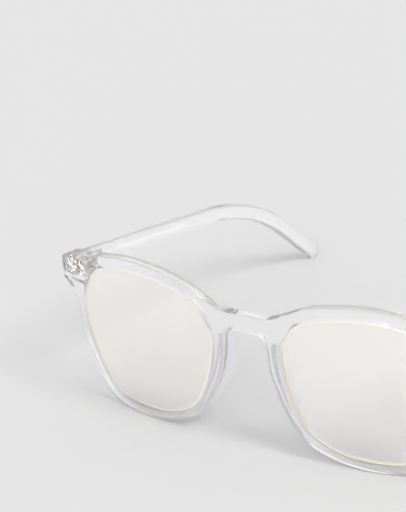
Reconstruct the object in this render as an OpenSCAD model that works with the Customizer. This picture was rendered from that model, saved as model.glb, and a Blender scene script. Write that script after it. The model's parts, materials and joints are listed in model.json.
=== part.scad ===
// Blue light glasses: a clear, full-rim acetate frame with two thin lenses, two bonded nose pads and
// two temples on three-knuckle metal hinges. Millimetres, standing open on the rims and temple tips.
// X runs to the wearer's left, Y from the front towards the ears, Z up.

/* [Front] */
// Width of the front over both end pieces
front_w = 139; // [133:0.5:145]
// Radius of the face curve, seen from above
face_r = 205; // [180:5:260]
// Thickness of the front
front_t = 3.3; // [3:0.1:4]
// How far the top of the front leans forward, in degrees
front_tilt = 7.2; // [6:0.2:8]

/* [Lenses] */
// Thickness of a lens
lens_t = 1.8; // [1.4:0.1:2]
// Depth of a lens behind the front face
lens_inset = 0.8; // [0.6:0.1:0.9]
// How far a lens edge reaches into the rim's groove
groove_d = 0.5; // [0.3:0.1:0.7]

/* [Nose pads] */
// Thickness of a nose pad where it meets the rim
pad_t = 2.2; // [1.8:0.1:2.4]

/* [Temples] */
// Length of a temple along its curve
temple_l = 150; // [145:1:155]
// Thickness of a temple at its hinge
temple_t = 4.2; // [3.8:0.1:4.4]
// Thickness of a temple at its tip
tip_t = 3.2; // [2.8:0.1:3.6]
// Straight length in front of the ear bend
straight_l = 70; // [66:1:74]
// Radius of the ear bend
bend_r = 102; // [95:1:110]
// Angle of the ear bend, in degrees
bend_a = 29.3; // [27:0.1:31]
// How much a temple slopes down towards its tip, in degrees
slope = 5.4; // [5:0.1:6]
// How much a temple turns in towards the head, in degrees
toe_in = 1.2; // [0.8:0.1:1.6]

/* [Hinges] */
// Outer diameter of a hinge barrel
barrel_d = 2.6; // [2.4:0.1:2.8]
// Height of one knuckle
knuckle_h = 1.5; // [1.4:0.1:1.6]
// Diameter of the hinge screw's shank
screw_d = 1.2; // [1:0.1:1.3]
// Depth of the toothed anchor in the end piece
anchor_d = 3.2; // [2.4:0.1:3.4]

/* [Hidden] */

clear_plastic = [0.92, 0.93, 0.93, 0.55];
lens_tint = [0.96, 0.94, 0.84, 0.45];
nickel = [0.72, 0.72, 0.70];

curve_steps = 6;          // short lines along each stretch of a smooth outline
fit_gap = 0.05;           // clearance around a lens edge in its groove
butt_gap = 0.1;           // gap between an end piece and a temple when open
side_cut = 17;            // taper of the end piece's outer side, in degrees
stretch = front_w / 139;  // the outlines below are drawn for a front 139 wide

// Half outlines, in the plane of the front: distance from the centre line, height above the rim's foot.
lens_points = [[36.4, 46.4], [18.5, 43.6], [11.6, 36.2], [10.8, 28.7], [14, 16.9], [19.5, 8.2],
               [32, 3], [49.6, 4.6], [58.6, 17.9], [60.8, 28.2], [58.5, 36.2], [52.6, 43.2]];
brow_points = [[0, 42.7], [7.5, 42.8], [13, 45], [20, 48.2], [29, 49.8], [39, 50], [52, 47.7], [69, 42.6]];
rim_points = [[69.4, 35.2], [66.4, 33.9], [64, 30.8], [63, 24], [61.3, 16.6], [56.6, 9.3], [50.7, 3.2],
              [44, 0.5], [36, 0.2], [26.5, 2], [17.4, 6.6], [11.6, 15.2], [7.8, 25], [6.8, 33],
              [6.2, 36], [4.2, 37], [0, 37]];

// Nose pad stations: height, distance from the centre line at the rim, the same at the free edge,
// and the depth of the free edge behind the front face.
pad_stations = [[34.4, 8.3, 8.1, 4.2], [32.5, 8.2, 8.1, 6.6], [29, 8.7, 8.6, 9.2], [24.5, 9.7, 9.9, 10.9],
                [20, 11, 10.9, 11.6], [15.5, 13.1, 12.2, 11.2], [11, 15.6, 14.1, 9.8], [8, 17.7, 15.9, 8.2],
                [6.6, 18.8, 17.4, 6]];

function sag(u) = face_r - sqrt(face_r * face_r - u * u);
function blend(a, b, c, d, t) =
    0.5 * (2 * b + (c - a) * t + (2 * a - 5 * b + 4 * c - d) * t * t + (3 * b - a - 3 * c + d) * t * t * t);
function closed_curve(p) = let (n = len(p)) [for (i = [0 : n - 1]) for (k = [0 : curve_steps - 1])
    blend(p[(i + n - 1) % n], p[i], p[(i + 1) % n], p[(i + 2) % n], k / curve_steps)];
function open_curve(p) = let (n = len(p)) concat([for (i = [0 : n - 2]) for (k = [0 : curve_steps - 1])
    blend(p[max(i - 1, 0)], p[i], p[i + 1], p[min(i + 2, n - 1)], k / curve_steps)], [p[n - 1]]);
function widen(p) = [for (q = p) [q[0] * stretch, q[1]]];
function unit(v) = v / norm(v);
function grow(p, d) = let (n = len(p)) [for (i = [0 : n - 1])
    let (t = unit(p[(i + 1) % n] - p[(i + n - 1) % n])) p[i] + d * [t[1], -t[0]]];

opening = widen(closed_curve(lens_points));
brow_line = widen(open_curve(brow_points));
rim_line = widen(open_curve(rim_points));
half_outline = concat(brow_line, rim_line);
outline_n = len(half_outline);
outline = concat(half_outline, [for (i = [outline_n - 2 : -1 : 1]) [-half_outline[i][0], half_outline[i][1]]]);

// The front stands on the lowest points of its rims, and the origin is under the middle of the box.
rest_z = min([for (p = outline) p[1] * cos(front_tilt) + sag(p[0]) * sin(front_tilt)]);
front_y = min([for (p = outline) sag(p[0]) * cos(front_tilt) - p[1] * sin(front_tilt)]);

butt_x = front_w / 2 - 5.7;    // inner face of a temple at its hinge end
butt_y = 11;                   // where the temples start
butt_z = 41.87 - rest_z;       // height of a temple's centre line there

// A temple's side profile: centre line by length, and half heights above and below it.
arc_l = bend_r * bend_a * PI / 180;
top_half = [[0, 2.9], [12, 3.05], [40, 2.85], [95, 2.45], [135, 2.75], [200, 2.75]];
foot_half = [[0, 4.3], [5, 4.15], [14, 3.4], [26, 3], [40, 2.85], [95, 2.45], [135, 2.75], [200, 2.75]];
stations = concat([0, 5, 12, 14, 19, 26, 40], [for (k = [0 : 12]) straight_l + k * arc_l / 12], [135]);
end_r = 2.75;                  // radius of the rounded tip
end_l = temple_l - end_r;      // where the rounding of the tip starts
function angle_at(s) = bend_a * min(max(s - straight_l, 0), arc_l) / arc_l;
function centre_at(s) =
    s <= straight_l ? [s, 0] :
    let (a = angle_at(s), r = max(s - straight_l - arc_l, 0))
    [straight_l + bend_r * sin(a) + r * cos(a), -bend_r * (1 - cos(a)) - r * sin(a)];
function across(s, h) = centre_at(s) + h * [sin(angle_at(s)), cos(angle_at(s))];
profile = concat([for (s = stations) across(s, lookup(s, top_half))],
                 [for (k = [0 : 12]) let (a = 90 - bend_a - 15 * k) centre_at(end_l) + end_r * [cos(a), sin(a)]],
                 [for (i = [len(stations) - 1 : -1 : 0]) across(stations[i], -lookup(stations[i], foot_half))]);
tip_y = butt_y + max([for (p = profile) p[0] * cos(toe_in) * cos(slope) + p[1] * sin(slope)]);
mid_y = (front_y + tip_y) / 2;

// Hinge axis, measured from the temple's inner front edge: inboard, back and down.
axis_in = 2.15;
axis_back = 2.65;
axis_down = 0.7;
knuckle_gap = 0.1;
pitch = knuckle_h + knuckle_gap;
plate_t = 0.6;                 // thickness of both hinge plates
bore_gap = 0.03;               // running clearance around the screw
head_d = 1.7;
head_h = 0.5;
slot_w = 0.3;
slot_h = 0.25;
tooth = 0.35;                  // depth of an anchor's teeth
teeth = 4;
cut = 60;                      // larger than anything it cuts

module in_place() translate([0, -mid_y, 0]) children();
module front_plane() translate([0, 0, -rest_z]) rotate([front_tilt, 0, 0]) children();
module both_sides() { children(); mirror([1, 0, 0]) children(); }
module right_side() mirror([1, 0, 0]) children();
module prism(p) translate([0, cut / 2, 0]) rotate([90, 0, 0]) linear_extrude(cut + 5) polygon(p);
module face_disc(depth) translate([0, face_r, -5]) cylinder(r = face_r - depth, h = cut, $fn = 720);
module face_shell(near, far) difference() { face_disc(near); face_disc(far); }

// Frame of a temple: Y along it from its hinge end, X outwards from its inner face, Z across.
module temple_line() translate([butt_x, butt_y, butt_z]) rotate([-slope, 0, 0]) children();
module temple_place() temple_line() axis_turn(toe_in) children();
module axis_turn(a) translate([-axis_in, axis_back, 0]) rotate([0, 0, a]) translate([axis_in, -axis_back, 0])
    children();
module hinge_axis() translate([-axis_in, axis_back, -axis_down]) children();

// A block whose two long sides carry saw teeth, lying along Z and centred on it.
module toothed_block(w, h, d) {
    step = d / teeth;
    side = [for (k = [0 : teeth - 1]) for (p = [[w / 2, k * step], [w / 2 - tooth, (k + 0.9) * step]]) p];
    far = [for (i = [len(side) - 1 : -1 : 0]) [-side[i][0], side[i][1]]];
    translate([0, 0, -h / 2]) linear_extrude(h) polygon(concat(side, far));
}

module front_insert() {
    translate([-axis_in - 1.4, -butt_gap - plate_t, -axis_down - 2.6]) cube([6.4, plate_t, 5.2]);
    translate([0.6, -butt_gap - plate_t + 0.01, -axis_down]) rotate([0, 0, 180])
        toothed_block(4.2, 4, anchor_d - plate_t);
}

module screw_hole(gap) translate([0, 0, -5]) cylinder(d = screw_d + 2 * gap, h = 10, $fn = 48);

module front_frame() color(clear_plastic) in_place() difference() {
    front_plane() difference() {
        union() {
            intersection() { prism(outline); face_shell(0, front_t); }
            both_sides() intersection() { prism(outline); end_block(); face_disc(0); }
        }
        both_sides() prism(opening);
        both_sides() intersection() {
            prism(grow(opening, groove_d + fit_gap));
            face_shell(lens_inset - fit_gap, lens_inset + lens_t + fit_gap);
        }
    }
    both_sides() temple_line() {
        translate([-10, -butt_gap, -10]) cube([cut, cut, 20]);
        front_insert();
    }
    both_sides() translate([front_w / 2 + 0.1, 5.8, 0]) rotate([0, 0, side_cut]) cube([cut, cut, 2 * cut]);
}

// The thicker end piece behind the rim, as high as the side of the front.
module end_block() translate([front_w / 2 - 10, 0, 35.3]) cube([cut, cut, 7.9]);

module lens() color(lens_tint) in_place() front_plane() intersection() {
    prism(grow(opening, groove_d));
    face_shell(lens_inset, lens_inset + lens_t);
}
module left_lens() lens();
module right_lens() right_side() lens();

// A pad's ring at one station: a flat oval from the rim's back face to the free edge.
ring_n = 16;
function pad_ring(s) = let (root = [s[1] * stretch, front_t - 0.6], edge = [s[2] * stretch, s[3]],
        mid = (root + edge) / 2, along = (edge - root) / 2, side = unit([along[1], -along[0]]))
    [for (k = [0 : ring_n - 1]) let (a = 360 * k / ring_n, half = pad_t / 2 * (1 - 0.25 * cos(a)),
        q = mid + along * cos(a) + side * half * sin(a)) [q[0], q[1] + sag(q[0]), s[0]]];
pad_n = len(pad_stations);
pad_net = [for (s = pad_stations) each pad_ring(s)];
pad_faces = concat([[for (k = [0 : ring_n - 1]) k]],
    [for (i = [0 : pad_n - 2]) for (k = [0 : ring_n - 1]) let (a = i * ring_n + k, b = i * ring_n + (k + 1) % ring_n)
        each [[a, a + ring_n, b + ring_n], [a, b + ring_n, b]]],
    [[for (k = [ring_n - 1 : -1 : 0]) (pad_n - 1) * ring_n + k]]);
module nose_pad() color(clear_plastic) in_place() front_plane() intersection() {
    polyhedron(pad_net, pad_faces);
    face_disc(front_t);
}
module left_nose_pad() nose_pad();
module right_nose_pad() right_side() nose_pad();

module front_hinge() color(nickel) in_place() temple_line() {
    front_insert();
    hinge_axis() difference() {
        for (n = [-1, 1]) translate([0, 0, n * pitch - knuckle_h / 2]) {
            cylinder(d = barrel_d, h = knuckle_h, $fn = 48);
            translate([-barrel_d / 2, -axis_back - butt_gap, 0])
                cube([barrel_d - 0.3, axis_back + butt_gap, knuckle_h]);
        }
        translate([0, 0, -pitch]) screw_hole(0);
        translate([0, 0, 5]) screw_hole(bore_gap);
        translate([0, 0, pitch + knuckle_h / 2 - head_h]) cylinder(d = head_d + 0.1, h = 2, $fn = 48);
    }
}
module left_front_hinge() front_hinge();
module right_front_hinge() right_side() front_hinge();

module hinge_screw() color(nickel) in_place() temple_line() hinge_axis() difference() {
    union() {
        translate([0, 0, -pitch - knuckle_h / 2])
            cylinder(d = screw_d, h = 2 * pitch + knuckle_h - head_h, $fn = 48);
        translate([0, 0, pitch + knuckle_h / 2 - head_h]) cylinder(d = head_d, h = head_h, $fn = 48);
    }
    translate([-slot_w / 2, -head_d, pitch + knuckle_h / 2 - slot_h]) cube([slot_w, 2 * head_d, 1]);
}
module left_hinge_screw() hinge_screw();
module right_hinge_screw() right_side() hinge_screw();

module temple_insert() {
    translate([0, 0.8, -axis_down - 2]) cube([plate_t, 8.2, 4]);
    translate([plate_t - 0.01, 4.9, -axis_down]) rotate([0, 0, -90]) toothed_block(6.4, 3, 1.6);
}

// Plan of a temple: inner face straight, outer face tapering towards the tip.
temple_plan = [[0, 0], [temple_t, 0], [temple_t, 6], [temple_t - 0.6, 30], [tip_t, 120], [tip_t, 170], [0, 170]];
module temple() color(clear_plastic) in_place() temple_place() difference() {
    intersection() {
        rotate([90, 0, 90]) linear_extrude(10) polygon(profile);
        translate([0, 0, -cut * 1.5]) linear_extrude(cut * 2) polygon(temple_plan);
    }
    temple_insert();
}
module left_temple() temple();
module right_temple() right_side() temple();

module temple_hinge() color(nickel) in_place() temple_place() {
    temple_insert();
    hinge_axis() difference() {
        translate([0, 0, -knuckle_h / 2]) {
            cylinder(d = barrel_d, h = knuckle_h, $fn = 48);
            translate([0, -1, 0]) cube([axis_in + 0.1, 2.3, knuckle_h]);
        }
        screw_hole(bore_gap);
    }
}
module left_temple_hinge() temple_hinge();
module right_temple_hinge() right_side() temple_hinge();

front_frame();
left_lens();
right_lens();
left_nose_pad();
right_nose_pad();
left_front_hinge();
right_front_hinge();
left_hinge_screw();
right_hinge_screw();
left_temple();
right_temple();
left_temple_hinge();
right_temple_hinge();
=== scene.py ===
import json
import math

import bmesh
import bpy
import numpy as np
from mathutils import Matrix, Vector
from mathutils.geometry import delaunay_2d_cdt


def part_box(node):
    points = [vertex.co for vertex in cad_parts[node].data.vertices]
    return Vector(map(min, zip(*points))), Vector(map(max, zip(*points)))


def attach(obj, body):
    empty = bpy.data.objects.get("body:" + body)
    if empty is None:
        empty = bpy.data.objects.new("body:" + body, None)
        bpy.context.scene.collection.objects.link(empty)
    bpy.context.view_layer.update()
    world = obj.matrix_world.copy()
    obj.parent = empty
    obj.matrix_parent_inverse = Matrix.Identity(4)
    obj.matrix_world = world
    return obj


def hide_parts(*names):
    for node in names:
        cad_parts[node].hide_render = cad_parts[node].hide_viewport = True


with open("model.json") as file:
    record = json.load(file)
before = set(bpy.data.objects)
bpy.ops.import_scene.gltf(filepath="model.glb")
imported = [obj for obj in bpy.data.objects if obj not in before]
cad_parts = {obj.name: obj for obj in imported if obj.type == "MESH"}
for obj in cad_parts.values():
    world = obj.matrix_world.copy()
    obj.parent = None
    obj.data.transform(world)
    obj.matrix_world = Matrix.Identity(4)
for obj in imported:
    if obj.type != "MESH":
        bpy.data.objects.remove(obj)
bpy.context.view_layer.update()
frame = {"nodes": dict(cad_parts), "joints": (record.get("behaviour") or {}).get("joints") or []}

# ---------------------------------------------------------------- sizes in millimetres, angles in radians
MM = 0.001                         # in the frame's metres
SIDES = {"left": 1, "right": -1}   # the wearer's sides, along +X and -X

FRONT_W = 139.0          # over both end pieces
FACE_R = 205.0           # curve of the front, seen from above
FRONT_T = 3.3            # thickness of the rims
TILT = math.radians(7.2)   # forward lean of the front
EDGE_R = 0.6             # rounding of the front's outer edges
EDGE_STEPS = 6           # lines of points across that rounding, after the first
RIM_R = 0.4              # rounding around the lens openings
RIM_STEPS = 4
CORNER_R = 1.1           # rounding of the end piece's corners, seen from the front
OUTLINE_POINTS = 260     # along one side's outer edge
OPENING_POINTS = 150     # around one lens opening

LENS_T = 1.8
LENS_INSET = 0.8         # lens edge behind the front face
LENS_BULGE = 0.4         # how far the lens's middle stands forward of its edge
LENS_PLAY = 0.1          # from the lens to the groove around it
LENS_EDGE = 0.24         # flat left at the tip of the lens's bevel
GROOVE = 0.55            # depth of the lens groove
GROOVE_FLAT = 0.5        # width of its floor,
FLAT_DEPTH = 0.9         # at whose sides it is this share as deep as in the middle
BEVEL = 0.6              # width of the ground bevel that shows inside the opening
# Rings of a lens face, as shares of the way from its middle to the bevel.
LENS_RINGS = (1, 0.985, 0.96, 0.92, 0.86, 0.78, 0.69, 0.59, 0.48, 0.37, 0.26, 0.15, 0.06)

BLOCK_IN = FRONT_W / 2 - 10    # inner end of the end piece's thick part
BLOCK_LOW = 34.9               # its underside
BLOCK_TOP = 42.7
BLOCK_FOOT = 0.7               # width of the slope around it
BLOCK_LINES = (0, 0.2, 0.35, 0.5, BLOCK_FOOT)   # where lines of points follow that slope
OFF_EDGE = 0.12                # how far those lines stay from the outer edge
OFF_OPENING = 0.1              # and from the lens openings
LONGEST_STEP = 1.5             # a wider gap between their points is left open
SIDE_CUT = math.tan(math.radians(17))   # narrowing of the end piece's outer side towards the temple
SIDE_CUT_FROM = 5.8            # how far back that narrowing starts
SIDE_SPARE = 0.1               # width beyond the end piece at that place
SQUEEZE_FROM = 61.5            # distance from the middle at which the end piece starts to narrow

TEMPLE_L = 150.0               # along its curve
TEMPLE_T = 4.2                 # thickness at the hinge
TIP_T = 3.2                    # thickness at the tip
TIP_R = 2.75                   # rounding of the tip, seen from the side
TEMPLE_R = 1.0                 # rounding of the long edges
ROUNDEST = 0.98                # that rounding stays below this share of half a section's size
SHARPEST = 0.02                # and above this radius
STRAIGHT_L = 70.0              # from the hinge to the start of the ear bend
BEND_R = 102.0
BEND = math.radians(29.3)
SLOPE = math.radians(5.4)      # fall of the straight stretch
TOE_IN = math.radians(1.2)
AXIS_IN = 2.15                 # hinge axis from the temple's inner front edge: inwards,
AXIS_BACK = 2.65               # back,
AXIS_DOWN = 0.7                # and down from the temple's middle line
BUTT_GAP = 0.13                # from the temple to the front, 0.03 behind the hinge plate
INNER = 0.03                   # the hinge plate stands this proud of the temple's inner face
# Along the temple: half height above and below its middle line, and thickness.
TOP_HALF = [(0, 2.5), (12, 2.75), (40, 2.85), (95, 2.45), (135, 2.75), (200, 2.75)]
FOOT_HALF = [(0, 4.3), (5, 4.15), (14, 3.4), (26, 3), (40, 2.85), (95, 2.45), (135, 2.75), (200, 2.75)]
THICK = [(0, TEMPLE_T), (6, TEMPLE_T), (30, TEMPLE_T - 0.6), (120, TIP_T), (200, TIP_T)]
BUTT_STATIONS = [(0.0, 0.35), (0.12, 0.16), (0.4, 0.0)]   # rounding of the hinge end: along, drawn in by
STATION_FROM = 2               # the first plain station
STATION_GAP = 1.5
TIP_ANGLES = (0, 12, 24, 36, 48, 58, 67, 75, 82, 87)      # stations around the tip, in degrees

BARS = 40                      # plain printed bars, counting those left out between groups
BAR_GROUP = 8                  # every eighth is left out
BARS_FROM = 17.0               # from the hinge end to the first bar
BAR_PITCH = 1.0
BAR_W = 0.5
BAR_H = 1.4
BAR_THICK = 0.03               # how far the print stands on the plastic
BAR_SUNK = 0.03                # how far it reaches into it
BAR_ROUND = 0.3                # rounding of a bar's corners, as a share of its width
BAR_SLOPE = 0.15               # how far its face is drawn in, as a share of its width
BAR_WALL = 0.6                 # share of its thickness that is upright wall

# Half outlines in the plane of the front: distance from the centre line, height.
LENS = [(36.4, 46.4), (18.5, 43.6), (11.6, 36.2), (10.8, 28.7), (14, 16.9), (19.5, 8.2),
        (32, 3), (49.6, 4.6), (58.6, 17.9), (60.8, 28.2), (58.5, 36.2), (52.6, 43.2)]
BROW = [(0, 42.7), (7.5, 42.8), (13, 45), (20, 48.2), (29, 49.8), (39, 50), (52, 47.7), (69, 42.6)]
RIM = [(69.4, 35.2), (66.4, 33.9), (64, 30.8), (63, 24), (61.3, 16.6), (56.6, 9.3), (50.7, 3.2),
       (44, 0.5), (36, 0.2), (26.5, 2), (17.4, 6.6), (11.6, 15.2), (7.8, 25), (6.8, 33),
       (6.2, 36), (4.2, 37), (0, 37)]
# Nose pad: height, distance out at the rim and at the free edge, depth of the free edge.
PAD = [(34.4, 8.3, 8.1, 4.2), (32.5, 8.2, 8.1, 6.6), (29, 8.7, 8.6, 9.2), (24.5, 9.7, 9.9, 10.9),
       (20, 11, 10.9, 11.6), (15.5, 13.1, 12.2, 11.2), (11, 15.6, 14.1, 9.8), (8, 17.7, 15.9, 8.2),
       (6.6, 18.8, 17.4, 6)]
PAD_STATIONS = 60        # stations after the table is filled in
PAD_SOFTENING = 30       # rounds of smoothing over them
PAD_RING = 64            # points around a pad
PAD_HALF = 1.0           # half thickness
PAD_BLUNT = 0.55         # below 1, the pad's two ends are blunter than an ellipse's
PAD_GAP = 0.02           # between the pad and the rim
PAD_FOOT = (0.05, 0.35, 0.65, 0.9, 1.05, 1.12)   # rings on the rim, in half thicknesses
# Rings from the rim (0) to the free edge (1), and their half thicknesses.
PAD_WALL = ((0.04, 1.08), (0.1, 1.02), (0.2, 0.98), (0.35, 0.94), (0.5, 0.9), (0.65, 0.86), (0.8, 0.82))
PAD_ROUND = 0.1          # share of the way that the free edge's rounding takes
PAD_EDGE = 0.78          # half thickness where that rounding starts
PAD_ANGLES = (0, 20, 40, 58, 74, 84)             # rings on that rounding, in degrees


# ---------------------------------------------------------------- curves
def spline(points, closed, between=12):
    """Catmull-Rom curve through the points."""
    p = np.array(points, float)
    n, out = len(p), []
    at = (lambda i: p[i % n]) if closed else (lambda i: p[min(max(i, 0), n - 1)])
    for i in range(n if closed else n - 1):
        a, b, c, d = at(i - 1), at(i), at(i + 1), at(i + 2)
        for t in np.arange(between) / between:
            out.append(0.5 * (2 * b + (c - a) * t + (2 * a - 5 * b + 4 * c - d) * t * t
                              + (3 * b - a - 3 * c + d) * t ** 3))
    return np.array(out if closed else out + [p[-1]])


def resample(line, count, closed):
    """The same line with evenly spaced points."""
    q = np.vstack([line, line[:1]]) if closed else line
    along = np.r_[0, np.cumsum(np.linalg.norm(np.diff(q, axis=0), axis=1))]
    at = np.linspace(0, along[-1], count + 1 if closed else count)
    out = np.stack([np.interp(at, along, q[:, k]) for k in (0, 1)], 1)
    return out[:-1] if closed else out


def fillet(before, corner, after, radius, count=10):
    """Points of an arc that rounds a corner, and how far from the corner it starts and ends."""
    a, b = before - corner, after - corner
    a, b = a / np.linalg.norm(a), b / np.linalg.norm(b)
    half = math.acos(np.clip(a @ b, -1, 1)) / 2
    trim = radius / math.tan(half)
    centre = corner + (a + b) / np.linalg.norm(a + b) * radius / math.sin(half)
    start, end = corner + a * trim - centre, corner + b * trim - centre
    turn = math.pi - 2 * half
    out = []
    for t in np.linspace(0, 1, count):
        mix = (math.sin((1 - t) * turn) * start + math.sin(t * turn) * end) / math.sin(turn)
        out.append(centre + mix)
    return np.array(out), trim


def half_outline():
    """The outer edge on one side, from the top of the bridge round to its underside."""
    brow, rim = spline(BROW, False), spline(RIM, False)
    # a few points away from the corner, the lines show the directions that the arcs have to meet
    top, top_trim = fillet(brow[-6], brow[-1], rim[0], CORNER_R)
    low, low_trim = fillet(brow[-1], rim[0], rim[5], CORNER_R)
    brow = brow[np.linalg.norm(brow - brow[-1], axis=1) > top_trim]
    rim = rim[np.linalg.norm(rim - rim[0], axis=1) > low_trim]
    return resample(np.vstack([brow, top, low, rim]), OUTLINE_POINTS, False)


def normals(line):
    """Unit normals of a closed line, pointing to the right of its direction."""
    t = np.roll(line, -1, 0) - np.roll(line, 1, 0)
    t /= np.linalg.norm(t, axis=1)[:, None]
    return np.stack([t[:, 1], -t[:, 0]], 1)


HALF = half_outline()
OUTER = np.vstack([HALF, HALF[-2:0:-1] * (-1, 1)])          # clockwise
INWARD = normals(OUTER)
OPENING = resample(spline(LENS, True), OPENING_POINTS, True)   # anticlockwise, on the +X side
OUT_OF_LENS = normals(OPENING)
OPENING_MIRRORED = OPENING * (-1, 1)
OUT_OF_MIRRORED = OUT_OF_LENS * (-1, 1)


def distance(points, line):
    """How far each point is from a closed line."""
    a, b = line, np.roll(line, -1, 0)
    ab = b - a
    out = np.empty(len(points))
    for i, p in enumerate(points):
        t = np.clip(((p - a) * ab).sum(1) / (ab * ab).sum(1), 0, 1)
        out[i] = np.linalg.norm(p - a - t[:, None] * ab, axis=1).min()
    return out


def inside(points, line):
    """Which points lie inside a closed line."""
    x, y = points[:, 0][:, None], points[:, 1][:, None]
    a, b = line, np.roll(line, -1, 0)
    over = (a[:, 1] > y) != (b[:, 1] > y)
    with np.errstate(divide="ignore", invalid="ignore"):
        cross = (b[:, 0] - a[:, 0]) * (y - a[:, 1]) / (b[:, 1] - a[:, 1]) + a[:, 0]
    return (over & (x < cross)).sum(1) % 2 == 1


# ---------------------------------------------------------------- places
def sag(u):
    """How far back the front has curved at distance u from its middle."""
    return FACE_R - np.sqrt(FACE_R ** 2 - u ** 2)


front_low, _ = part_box("front_frame")
SHIFT_Z = front_low.z / MM - (OUTER[:, 1] * math.cos(TILT) + sag(OUTER[:, 0]) * math.sin(TILT)).min()
SHIFT_Y = front_low.y / MM - (sag(OUTER[:, 0]) * math.cos(TILT) - OUTER[:, 1] * math.sin(TILT)).min()


def to_frame(u, v, w):
    """The frame's metres from the front's own width, height and depth."""
    y = w * math.cos(TILT) - v * math.sin(TILT) + SHIFT_Y
    z = v * math.cos(TILT) + w * math.sin(TILT) + SHIFT_Z
    return np.stack([u, y, z], -1) * MM


hinges = {joint["name"]: Vector(joint["pos_m"]) / MM for joint in frame["joints"]}
BUTT = (hinges["left_fold"]
        + Vector((AXIS_IN, -AXIS_BACK * math.cos(SLOPE) + AXIS_DOWN * math.sin(SLOPE),
                  AXIS_BACK * math.sin(SLOPE) + AXIS_DOWN * math.cos(SLOPE))))


def butt_depth(v):
    """Depth, in the front's own axes, of the face that meets the temple, at height v."""
    # on that face: (y - y0) cos(slope) - (z - z0) sin(slope) = -gap
    y0, z0 = BUTT.y - SHIFT_Y, BUTT.z - SHIFT_Z
    c, s = math.cos(SLOPE), math.sin(SLOPE)
    rest = y0 * c - z0 * s - BUTT_GAP + v * (math.sin(TILT) * c + math.cos(TILT) * s)
    return rest / (math.cos(TILT) * c - math.sin(TILT) * s)


def smooth(t):
    """Rises from 0 to 1 without kinks."""
    t = np.clip(t, 0, 1)
    return t * t * (3 - 2 * t)


def rounding(d, r):
    """How far a rounded edge has dropped at distance d from the wall."""
    return r - np.sqrt(np.maximum(r * r - (r - np.minimum(d, r)) ** 2, 0))


def depth(points, back):
    """Depth of the front's face, or of its back, at points in its plane."""
    u, v = points[:, 0], points[:, 1]
    edge = rounding(distance(points, OUTER), EDGE_R)
    rim = rounding(np.minimum(distance(points, OPENING), distance(points, OPENING_MIRRORED)), RIM_R)
    if not back:
        return sag(u) + np.maximum(edge, rim)
    wall = np.minimum(np.minimum(np.abs(u) - BLOCK_IN, v - BLOCK_LOW), BLOCK_TOP - v)
    block = smooth(wall / BLOCK_FOOT)
    shell = sag(u) + FRONT_T
    return shell + block * (butt_depth(v) - shell) - np.maximum(edge, rim)


# ---------------------------------------------------------------- meshes
class Shape:
    """Vertices and faces in the making."""

    def __init__(self):
        self.verts = []
        self.faces = []
        self.second = []   # numbers of the faces that get the second material

    def add(self, points):
        """Adds vertices and gives their numbers."""
        first = len(self.verts)
        self.verts += [tuple(p) for p in points]
        return list(range(first, len(self.verts)))

    def band(self, a, b):
        """Faces between two rings."""
        for i in range(len(a)):
            j = (i + 1) % len(a)
            self.faces.append((a[i], a[j], b[j], b[i]))

    def tube(self, rows, capped=False):
        """Faces between each ring and the next, and over both ends."""
        for a, b in zip(rows, rows[1:]):
            self.band(a, b)
        if capped:
            self.faces += [tuple(rows[0]), tuple(reversed(rows[-1]))]

    def build(self, name, material, second_material=None):
        """The piece as an object, with smooth shading that keeps its flat faces flat."""
        mesh = bpy.data.meshes.new(name)
        mesh.from_pydata(self.verts, [], self.faces)
        for i in self.second:
            mesh.polygons[i].material_index = 1
        bm = bmesh.new()
        bm.from_mesh(mesh)
        bmesh.ops.remove_doubles(bm, verts=bm.verts, dist=1e-7)
        bmesh.ops.recalc_face_normals(bm, faces=bm.faces)
        bm.to_mesh(mesh)
        bm.free()
        mesh.polygons.foreach_set("use_smooth", [True] * len(mesh.polygons))
        mesh.materials.append(material)
        if second_material:
            mesh.materials.append(second_material)
        piece = bpy.data.objects.new(name, mesh)
        bpy.context.scene.collection.objects.link(piece)
        flat = piece.modifiers.new("flat_faces", "WEIGHTED_NORMAL")
        flat.weight = 60
        flat.keep_sharp = True
        return piece


def steps(radius, count):
    """Distances from the wall at which a rounded edge gets a line of points."""
    return [radius * (1 - math.cos(math.pi / 2 * k / count)) for k in range(count + 1)]


def block_line(step):
    """A line that follows the foot of the end piece's thick part, a little inside it."""
    low, top, near = BLOCK_LOW + step, BLOCK_TOP - step, BLOCK_IN + step
    across = np.linspace(near, FRONT_W / 2, 16)
    up = np.linspace(low, top, 14)[1:-1]
    return np.vstack([np.stack([across[::-1], np.full_like(across, low)], 1),
                      np.stack([np.full_like(up, near), up], 1),
                      np.stack([across, np.full_like(across, top)], 1)])


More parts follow.
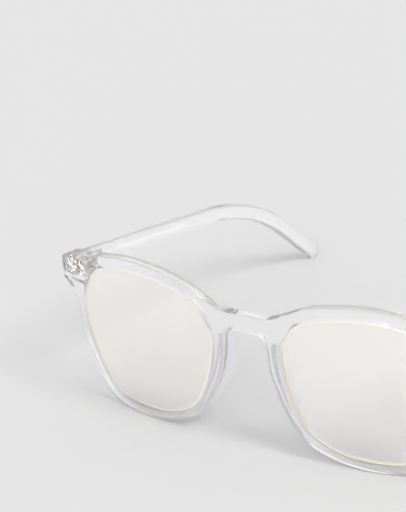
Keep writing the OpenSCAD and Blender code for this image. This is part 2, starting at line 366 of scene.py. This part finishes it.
def skin(shape, back):
    """One face of the front as triangles between lines that follow its edges. Gives its boundary loops."""
    loops, starts = [], []
    for line, away, radius, count in ((OUTER, INWARD, EDGE_R, EDGE_STEPS),
                                      (OPENING, OUT_OF_LENS, RIM_R, RIM_STEPS),
                                      (OPENING_MIRRORED, OUT_OF_MIRRORED, RIM_R, RIM_STEPS)):
        starts.append(len(loops))
        loops += [line + away * d for d in steps(radius, count)]
    points, edges = [], []
    for loop in loops:
        first = len(points)
        points += [Vector(p) for p in loop]
        edges += [(first + i, first + (i + 1) % len(loop)) for i in range(len(loop))]
    blocks = ((1, OPENING), (-1, OPENING_MIRRORED)) if back else ()
    for side, opening in blocks:
        for step in BLOCK_LINES:
            path = block_line(step) * (side, 1)
            path = path[inside(path, OUTER) & (distance(path, OUTER) > OFF_EDGE)
                        & (distance(path, opening) > OFF_OPENING)]
            first = len(points)
            points += [Vector(p) for p in path]
            edges += [(first + i, first + i + 1) for i in range(len(path) - 1)
                      if np.linalg.norm(path[i + 1] - path[i]) < LONGEST_STEP]
    flat, _, tris, origin, _, _ = delaunay_2d_cdt(points, edges, [], 0, 1e-5)
    flat = np.array([tuple(p) for p in flat])
    ids = shape.add(to_frame(flat[:, 0], flat[:, 1], depth(flat, back)))
    place = {o: ids[i] for i, each in enumerate(origin) for o in each}
    found, first = [], 0
    for loop in loops:
        found.append([place[first + i] for i in range(len(loop))])
        first += len(loop)
    walls = [found[i] for i in starts]
    for t in tris:   # a triangle between points of one wall lies outside the front or in an opening
        face = tuple(ids[i] for i in t)
        if not any(set(face) <= set(wall) for wall in walls):
            shape.faces.append(face)
    return walls


def pad_curve():
    """The nose pad's stations, closely spaced, with the table's straight stretches softened."""
    at = np.linspace(0, len(PAD) - 1, PAD_STATIONS)
    curve = np.stack([np.interp(at, range(len(PAD)), column) for column in zip(*PAD)], 1)
    for _ in range(PAD_SOFTENING):
        curve[1:-1] = (curve[:-2] + 2 * curve[1:-1] + curve[2:]) / 4
    return curve


PAD_CURVE = pad_curve()


def pad_point(side, q, reach, half):
    """A point of a nose pad's wall: q runs round it, reach from the rim (0) to the free edge (1)."""
    i = (1 - math.cos(q)) / 2 * (PAD_STATIONS - 1)
    k = min(int(i), PAD_STATIONS - 2)
    ahead = PAD_CURVE[k + 1] - PAD_CURVE[k]
    v, root, edge, deep = PAD_CURVE[k] + ahead * (i - k)
    across = np.array([-ahead[0], ahead[1]])
    across /= np.linalg.norm(across)
    swing = math.copysign(abs(math.sin(q)) ** PAD_BLUNT, math.sin(q)) * half
    u = root + (edge - root) * reach - across[0] * swing
    w0 = sag(u) + FRONT_T
    w1 = sag(edge) + deep
    return side * u, v - across[1] * swing, w0 + (w1 - w0) * reach


def pad_ring(side, reach, half):
    """Points around a nose pad. half: its half thickness there, as a share of PAD_HALF."""
    angles = np.arange(PAD_RING) * 2 * math.pi / PAD_RING
    return np.array([pad_point(side, a, reach, PAD_HALF * half) for a in angles])


def nose_pad(word, material):
    """A thin rounded blade that stands on the rim's back, a hair away from it."""
    side = SIDES[word]
    shape = Shape()
    rows = []
    for half in PAD_FOOT:
        p = pad_ring(side, 0, half)
        rows.append(shape.add(to_frame(p[:, 0], p[:, 1], depth(p[:, :2], True) + PAD_GAP)))
    edge = [(1 - PAD_ROUND * (1 - math.sin(a)), PAD_EDGE * math.cos(a)) for a in np.radians(PAD_ANGLES)]
    for reach, half in (*PAD_WALL, *edge):
        p = pad_ring(side, reach, half)
        rows.append(shape.add(to_frame(p[:, 0], p[:, 1], p[:, 2])))
    shape.tube(rows)
    for ring in (rows[0], rows[-1]):
        for i in range(PAD_RING // 2):
            four = (ring[i], ring[i + 1], ring[PAD_RING - i - 1], ring[(PAD_RING - i) % PAD_RING])
            shape.faces.append(tuple(dict.fromkeys(four)))
    return shape.build(word + "_pad_blade", material)


def front_frame(material):
    """Rims, bridge and end pieces in one closed shell, with a groove around each lens opening."""
    shape = Shape()
    f_outer, f_left, f_right = skin(shape, False)
    b_outer, b_left, b_right = skin(shape, True)
    shape.band(f_outer, b_outer)
    middle = LENS_INSET + LENS_T / 2
    groove = ((0, LENS_INSET - LENS_PLAY),
              (GROOVE * FLAT_DEPTH, middle - GROOVE_FLAT / 2),
              (GROOVE, middle),
              (GROOVE * FLAT_DEPTH, middle + GROOVE_FLAT / 2),
              (0, LENS_INSET + LENS_T + LENS_PLAY))
    for front, back, line, away in ((f_left, b_left, OPENING, OUT_OF_LENS),
                                    (f_right, b_right, OPENING_MIRRORED, OUT_OF_MIRRORED)):
        rows = [front]
        for off, w in groove:
            ring = line + away * off
            rows.append(shape.add(to_frame(ring[:, 0], ring[:, 1], sag(ring[:, 0]) + w)))
        shape.tube(rows + [back])
    cut = []
    for x, y, z in shape.verts:   # the end piece's outer side narrows towards the temple
        most = FRONT_W / 2 + SIDE_SPARE - max(y / MM - SHIFT_Y - SIDE_CUT_FROM, 0) * SIDE_CUT
        squeeze = min((most - SQUEEZE_FROM) / (FRONT_W / 2 - SQUEEZE_FROM), 1)
        over = max(abs(x) / MM - SQUEEZE_FROM, 0)
        cut.append((x - math.copysign(over * (1 - squeeze), x) * MM, y, z))
    shape.verts = cut
    return shape.build("front_frame_shell", material)


def lens(word, material, edge_material):
    """A curved lens with a ground bevel all round."""
    side = SIDES[word]
    shape = Shape()
    line = OPENING * (side, 1)
    away = OUT_OF_LENS * (side, 1)
    centre = line.mean(0)
    rim = line - away * BEVEL

    def ring(share, w):
        p = centre + (rim - centre) * share
        bulge = LENS_BULGE * (1 - share ** 2)
        return shape.add(to_frame(p[:, 0], p[:, 1], sag(p[:, 0]) + w - bulge))

    faces = []
    for w in (LENS_INSET, LENS_INSET + LENS_T):
        rows = [ring(share, w) for share in LENS_RINGS]
        shape.tube(rows)
        last = rows[-1]
        tip = shape.add(to_frame(centre[:1], centre[1:], sag(centre[:1]) + w - LENS_BULGE))[0]
        shape.faces += [(last[i], last[(i + 1) % len(last)], tip) for i in range(len(last))]
        faces.append(rows[0])
    bevel = line + away * (GROOVE - LENS_PLAY)
    middle = sag(bevel[:, 0]) + LENS_INSET + LENS_T / 2
    edge = [shape.add(to_frame(bevel[:, 0], bevel[:, 1], middle + off))
            for off in (-LENS_EDGE / 2, LENS_EDGE / 2)]
    first = len(shape.faces)
    shape.tube([faces[0], *edge, faces[1]])
    shape.second = range(first, len(shape.faces))
    return shape.build(word + "_lens_blank", material, edge_material)


# ---------------------------------------------------------------- temples
def soft_lookup(s, table, spread=5.0):
    """A table's value, averaged over a short stretch so that it has no kinks."""
    at = np.linspace(max(s - spread, 0), s + spread, 9)
    return float(np.interp(at, *zip(*table)).mean())


def centre_line(s):
    """A temple's middle line: (along, up) at distance s, and how far it has bent there."""
    arc = BEND_R * BEND
    a = BEND * min(max(s - STRAIGHT_L, 0), arc) / arc
    if s <= STRAIGHT_L:
        return np.array([s, 0.0]), 0.0
    r = max(s - STRAIGHT_L - arc, 0)
    return np.array([STRAIGHT_L + BEND_R * math.sin(a) + r * math.cos(a),
                     -BEND_R * (1 - math.cos(a)) - r * math.sin(a)]), a


def temple_matrix(side):
    """From a temple's own axes (out from its hinge plate, along, up) to the shared frame, in millimetres."""
    turn = (Matrix.Translation(Vector((-AXIS_IN, AXIS_BACK, 0))) @ Matrix.Rotation(TOE_IN, 4, "Z")
            @ Matrix.Translation(Vector((AXIS_IN, -AXIS_BACK, 0))))
    place = Matrix.Translation(BUTT) @ Matrix.Rotation(-SLOPE, 4, "X") @ turn
    return (Matrix.Scale(-1, 4, Vector((1, 0, 0))) if side < 0 else Matrix.Identity(4)) @ place


def section(top, foot, thick, radius, count=8):
    """A rounded rectangle across a temple: (out, up) points, anticlockwise."""
    out = []
    corners = ((thick - radius, top - radius, 0), (radius, top - radius, 90),
               (radius, -foot + radius, 180), (thick - radius, -foot + radius, 270))
    for x, z, start in corners:
        for k in range(count):
            a = math.radians(start + 90 * k / (count - 1))
            out.append((x + radius * math.cos(a), z + radius * math.sin(a)))
    return out


def temple(word, material):
    """A temple as one closed skin through sections along its middle line."""
    side = SIDES[word]
    shape = Shape()
    matrix = temple_matrix(side)
    end = TEMPLE_L - TIP_R
    stations = BUTT_STATIONS + [(s, 0.0) for s in np.arange(STATION_FROM, end, STATION_GAP)]
    stations += [(end + TIP_R * math.sin(a), 0.0) for a in np.radians(TIP_ANGLES)]
    rows = []
    for s, shrink in stations:
        top, foot = soft_lookup(s, TOP_HALF), soft_lookup(s, FOOT_HALF)
        thick, low = soft_lookup(s, THICK) - INNER, INNER
        if s > end:
            q = (s - end) / TIP_R
            top = foot = TIP_R * math.sqrt(1 - q * q)
            narrow = thick * (1 - (1 - q ** 3) ** (1 / 3)) / 2
            thick, low = thick - 2 * narrow, INNER + narrow
        radius = min(TEMPLE_R, top * ROUNDEST, thick / 2 * ROUNDEST)
        points = section(top - shrink, foot - shrink, thick - 2 * shrink, max(radius - shrink, SHARPEST))
        (y0, z0), angle = centre_line(s)
        ring = []
        for x, h in points:
            local = Vector((low + shrink + x, y0 + h * math.sin(angle), z0 + h * math.cos(angle)))
            ring.append((matrix @ local) * MM)
        rows.append(shape.add(ring))
    shape.tube(rows, capped=True)
    return shape.build(word + "_temple_arm", material)


# ---------------------------------------------------------------- materials
ACETATE_IOR = 1.49
LENS_IOR = 1.5


def new_material(name):
    """A material, its nodes, its links and its shader."""
    material = bpy.data.materials.new(name)
    material.use_nodes = True
    nodes = material.node_tree.nodes
    return material, nodes, material.node_tree.links, nodes["Principled BSDF"]


def tint_inside(nodes, links, colour, density):
    """Colour that builds up with the light's way through the material."""
    volume = nodes.new("ShaderNodeVolumeAbsorption")
    volume.inputs["Color"].default_value = (*colour, 1)
    volume.inputs["Density"].default_value = density
    links.new(volume.outputs["Volume"], nodes["Material Output"].inputs["Volume"])


def own_place(nodes):
    """Where a point lies on its piece."""
    return nodes.new("ShaderNodeTexCoord").outputs["Object"]


def noise_on(nodes, links, scale, detail, distortion=0):
    """Soft noise over a piece."""
    noise = nodes.new("ShaderNodeTexNoise")
    noise.inputs["Scale"].default_value = scale
    noise.inputs["Detail"].default_value = detail
    noise.inputs["Distortion"].default_value = distortion
    links.new(own_place(nodes), noise.inputs["Vector"])
    return noise.outputs["Fac"]


def remap(nodes, links, value, start, end, low=0, high=1, way="LINEAR"):
    """Spreads a value's stretch from start to end over low to high."""
    ramp = nodes.new("ShaderNodeMapRange")
    ramp.interpolation_type = way
    for name, number in (("From Min", start), ("From Max", end), ("To Min", low), ("To Max", high)):
        ramp.inputs[name].default_value = number
    links.new(value, ramp.inputs["Value"])
    return ramp.outputs["Result"]


def relief(nodes, links, shader, pattern, height):
    """Shades the surface as if the pattern stood out from it by height, in metres."""
    bump = nodes.new("ShaderNodeBump")
    bump.inputs["Strength"].default_value = 1
    bump.inputs["Distance"].default_value = height
    links.new(pattern, bump.inputs["Height"])
    links.new(bump.outputs["Normal"], shader.inputs["Normal"])


def surface_play(nodes, links, shader, size, rough, height):
    """Faint unevenness that a polished moulding keeps: roughness and a shallow waviness."""
    pattern = noise_on(nodes, links, scale=1 / size, detail=3)
    links.new(remap(nodes, links, pattern, 0.3, 0.7, *rough), shader.inputs["Roughness"])
    relief(nodes, links, shader, pattern, height)
    return pattern


def blend_colours(nodes, links, factor, low, high):
    """The colour low where the factor is 0, high where it is 1."""
    mix = nodes.new("ShaderNodeMix")
    mix.data_type = "RGBA"
    mix.inputs["A"].default_value = (*low, 1)
    mix.inputs["B"].default_value = (*high, 1)
    links.new(factor, mix.inputs["Factor"])
    return mix.outputs["Result"]


def clear_plastic(name, clear, low=(0.98, 0.98, 1), high=(1, 0.997, 1)):
    """Colourless acetate. clear: the share of the light that it passes without scattering."""
    material, nodes, links, shader = new_material(name)
    tint_inside(nodes, links, colour=(0.5, 0.48, 0.8), density=2)
    pattern = surface_play(nodes, links, shader, size=0.006, rough=(0.0, 0.02), height=1e-6)
    links.new(blend_colours(nodes, links, pattern, low, high), shader.inputs["Base Color"])
    shader.inputs["Transmission Weight"].default_value = clear
    shader.inputs["IOR"].default_value = ACETATE_IOR
    return material


def lens_plastic():
    """Clear lens plastic, faintly warm, with painted reflection and shade in its colour: lilac and a little
    darker low down, warmer and brighter higher up.
    """
    material, nodes, links, shader = new_material("blue_light_lens")
    tint_inside(nodes, links, colour=(0.94, 0.8, 0.1), density=6)
    surface_play(nodes, links, shader, size=0.012, rough=(0.0, 0.01), height=5e-7)
    split = nodes.new("ShaderNodeSeparateXYZ")
    links.new(own_place(nodes), split.inputs["Vector"])
    # painted reflection and shade: the colour runs from lilac and a little darker at the lens's bottom to
    # warmer and brighter at its top
    height = remap(nodes, links, split.outputs["Z"], 0.002, 0.018)
    tone = blend_colours(nodes, links, height, (0.985, 0.97, 0.985), (1, 0.992, 0.965))
    links.new(tone, shader.inputs["Base Color"])
    shader.inputs["Transmission Weight"].default_value = 0.9
    shader.inputs["IOR"].default_value = LENS_IOR
    shader.inputs["Specular IOR Level"].default_value = 0.1
    return material


def ground_edge():
    """The lens's ground bevel, where the tint of the whole width gathers."""
    material, nodes, links, shader = new_material("ground_lens_edge")
    pattern = surface_play(nodes, links, shader, size=0.006, rough=(0.25, 0.35), height=5e-7)
    tone = blend_colours(nodes, links, pattern, (1, 0.96, 0.8), (1, 0.98, 0.87))
    links.new(tone, shader.inputs["Base Color"])
    shader.inputs["Transmission Weight"].default_value = 0.5
    shader.inputs["IOR"].default_value = LENS_IOR
    return material


def hinge_metal():
    """Nickel silver, crinkled and stained where the hot plastic closed around it."""
    material, nodes, links, shader = new_material("nickel_silver")
    cells = nodes.new("ShaderNodeTexVoronoi")
    cells.inputs["Scale"].default_value = 900
    cells.inputs["Randomness"].default_value = 1
    links.new(own_place(nodes), cells.inputs["Vector"])
    noise = noise_on(nodes, links, scale=650, detail=4, distortion=1.5)
    stain = remap(nodes, links, noise, 0.42, 0.6)
    tone = blend_colours(nodes, links, stain, (0.36, 0.3, 0.26), (0.8, 0.78, 0.76))
    links.new(tone, shader.inputs["Base Color"])
    links.new(remap(nodes, links, noise, 0, 1, 0.12, 0.35), shader.inputs["Roughness"])
    relief(nodes, links, shader, cells.outputs["Distance"], height=0.0003)
    shader.inputs["Metallic"].default_value = 1
    return material


def print_ink():
    """Matt white print, with a fine grain."""
    material, nodes, links, shader = new_material("white_print")
    pattern = surface_play(nodes, links, shader, size=0.0004, rough=(0.5, 0.7), height=1e-5)
    tone = blend_colours(nodes, links, pattern, (0.69, 0.69, 0.7), (0.76, 0.76, 0.77))
    links.new(tone, shader.inputs["Base Color"])
    return material


def floor_material():
    """A plain, matt, pale floor."""
    material, _, _, shader = new_material("pale_floor")
    shader.inputs["Base Color"].default_value = (FLOOR_TONE, FLOOR_TONE, FLOOR_TONE, 1)
    shader.inputs["Roughness"].default_value = 1
    shader.inputs["Specular IOR Level"].default_value = 0
    return material


# ---------------------------------------------------------------- camera, light and floor, in metres
VIEW_AZIMUTH = math.radians(31.724)
VIEW_ELEVATION = math.radians(19.567)
VIEW_ROLL = math.radians(-0.142)
VIEW_DISTANCE = 0.54676
VIEW_TARGET = Vector((-0.01555, SHIFT_Y * MM, 0.05457))
FOCAL_LENGTH = 138.65    # this and the next in millimetres
SENSOR_WIDTH = 36
FLOOR_HALF = 4.0
FLOOR_DROP = 0.00005     # the floor lies this far below the glasses
FLOOR_TONE = 0.48        # how much light the floor gives back
FLOOR_PALE = 0.791       # how bright it looks
FLOOR_LIGHT = FLOOR_PALE / FLOOR_TONE
SKY_SHARE = 0.55         # how much of the floor's light the dome gives
HORIZON_BAND = 0.13      # height up to which the dome is darker, as a share of its radius


def camera():
    """Looks down on the glasses from their wearer's left."""
    data = bpy.data.cameras.new("camera")
    data.lens = FOCAL_LENGTH
    data.sensor_width = SENSOR_WIDTH
    data.clip_start = 0.01
    data.clip_end = 20
    piece = bpy.data.objects.new("camera", data)
    bpy.context.scene.collection.objects.link(piece)
    back = Vector((math.sin(VIEW_AZIMUTH) * math.cos(VIEW_ELEVATION),
                   -math.cos(VIEW_AZIMUTH) * math.cos(VIEW_ELEVATION), math.sin(VIEW_ELEVATION)))
    piece.rotation_mode = "QUATERNION"
    piece.rotation_quaternion = ((-back).to_track_quat("-Z", "Y")
                                 @ Matrix.Rotation(VIEW_ROLL, 3, "Z").to_quaternion())
    piece.location = VIEW_TARGET + back * VIEW_DISTANCE
    bpy.context.scene.camera = piece


def sun(name, azimuth, elevation, spread, share):
    """A soft light from one side. share: how much of the floor's light it gives."""
    data = bpy.data.lights.new(name, "SUN")
    data.angle = math.radians(spread)
    around, up = math.radians(azimuth), math.radians(elevation)
    data.energy = share * FLOOR_LIGHT * math.pi / math.sin(up)
    piece = bpy.data.objects.new(name, data)
    source = Vector((math.cos(around) * math.cos(up), math.sin(around) * math.cos(up), math.sin(up)))
    piece.rotation_mode = "QUATERNION"
    piece.rotation_quaternion = source.to_track_quat("Z", "Y")
    bpy.context.scene.collection.objects.link(piece)


def dome():
    """A pale dome, a little darker and browner at the horizon, which outlines clear plastic."""
    world = bpy.data.worlds.new("studio")
    world.use_nodes = True
    nodes, links = world.node_tree.nodes, world.node_tree.links
    sky = nodes["Background"]
    sky.inputs["Strength"].default_value = SKY_SHARE * FLOOR_LIGHT
    split = nodes.new("ShaderNodeSeparateXYZ")
    links.new(nodes.new("ShaderNodeTexCoord").outputs["Generated"], split.inputs["Vector"])
    height = remap(nodes, links, split.outputs["Z"], 0, HORIZON_BAND, way="SMOOTHSTEP")
    links.new(blend_colours(nodes, links, height, (0.22, 0.17, 0.14), (1, 1, 1)), sky.inputs["Color"])
    return world


def studio():
    """Soft light and a plain floor."""
    scene = bpy.context.scene
    scene.view_settings.view_transform = "Standard"
    scene.cycles.max_bounces = 28
    scene.cycles.transmission_bounces = 28
    scene.cycles.glossy_bounces = 20
    scene.cycles.sample_clamp_direct = 2.5
    scene.cycles.sample_clamp_indirect = 3
    scene.cycles.filter_width = 1.7
    scene.cycles.denoising_input_passes = "RGB"   # surface guides put false edges in clear plastic
    scene.world = dome()
    sun("key", azimuth=-20, elevation=46, spread=28, share=0.24)
    sun("fill", azimuth=-70, elevation=22, spread=55, share=0.22)
    mesh = bpy.data.meshes.new("floor")
    corners = [(x * FLOOR_HALF, y * FLOOR_HALF, 0) for x, y in ((-1, -1), (1, -1), (1, 1), (-1, 1))]
    mesh.from_pydata(corners, [], [(0, 1, 2, 3)])
    mesh.materials.append(floor_material())
    floor = bpy.data.objects.new("floor", mesh)
    floor.location.z = -FLOOR_DROP
    scene.collection.objects.link(floor)


def print_bars(material):
    """A plain row of short upright bars on the inner face of the right temple."""
    shape = Shape()
    matrix = temple_matrix(SIDES["right"])
    outline = section(BAR_H / 2, BAR_H / 2, BAR_W, BAR_W * BAR_ROUND, 4)
    # Rings of a bar: how far out from the hinge plate's face they lie, and how far they are drawn in.
    rings = ((INNER + BAR_SUNK, 0), (INNER - BAR_THICK * BAR_WALL, 0),
             (INNER - BAR_THICK, BAR_W * BAR_SLOPE))
    for i in range(BARS):
        if i % BAR_GROUP == BAR_GROUP - 1:
            continue
        s = BARS_FROM + i * BAR_PITCH
        rows = []
        for out, shrink in rings:
            points = []
            for x, h in outline:
                along = s + shrink + x * (1 - 2 * shrink / BAR_W)
                points.append((matrix @ Vector((out, along, h * (1 - 2 * shrink / BAR_H)))) * MM)
            rows.append(shape.add(points))
        shape.tube(rows, capped=True)
    return shape.build("print_bars", material)


camera()
studio()

plastic = clear_plastic("crystal_acetate", clear=0.945)
arm_plastic = clear_plastic("temple_acetate", clear=0.88)
pad_plastic = clear_plastic("pad_acetate", clear=0.6, low=(0.95, 0.945, 0.99), high=(0.98, 0.97, 1))
glazing = lens_plastic()
ground = ground_edge()
metal = hinge_metal()
front = front_frame(plastic)
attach(front, "front")
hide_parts("front_frame")
for word in SIDES:
    blank = lens(word, glazing, ground)
    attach(blank, "front")
    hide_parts(word + "_lens")
    pad = nose_pad(word, pad_plastic)
    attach(pad, "front")
    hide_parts(word + "_nose_pad")
    arm = temple(word, arm_plastic)
    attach(arm, word + "_temple_body")
    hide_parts(word + "_temple")
    for node in ("_front_hinge", "_hinge_screw", "_temple_hinge"):
        piece = frame["nodes"][word + node]
        piece.data.materials.clear()
        piece.data.materials.append(metal)

bars = print_bars(print_ink())
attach(bars, "right_temple_body")
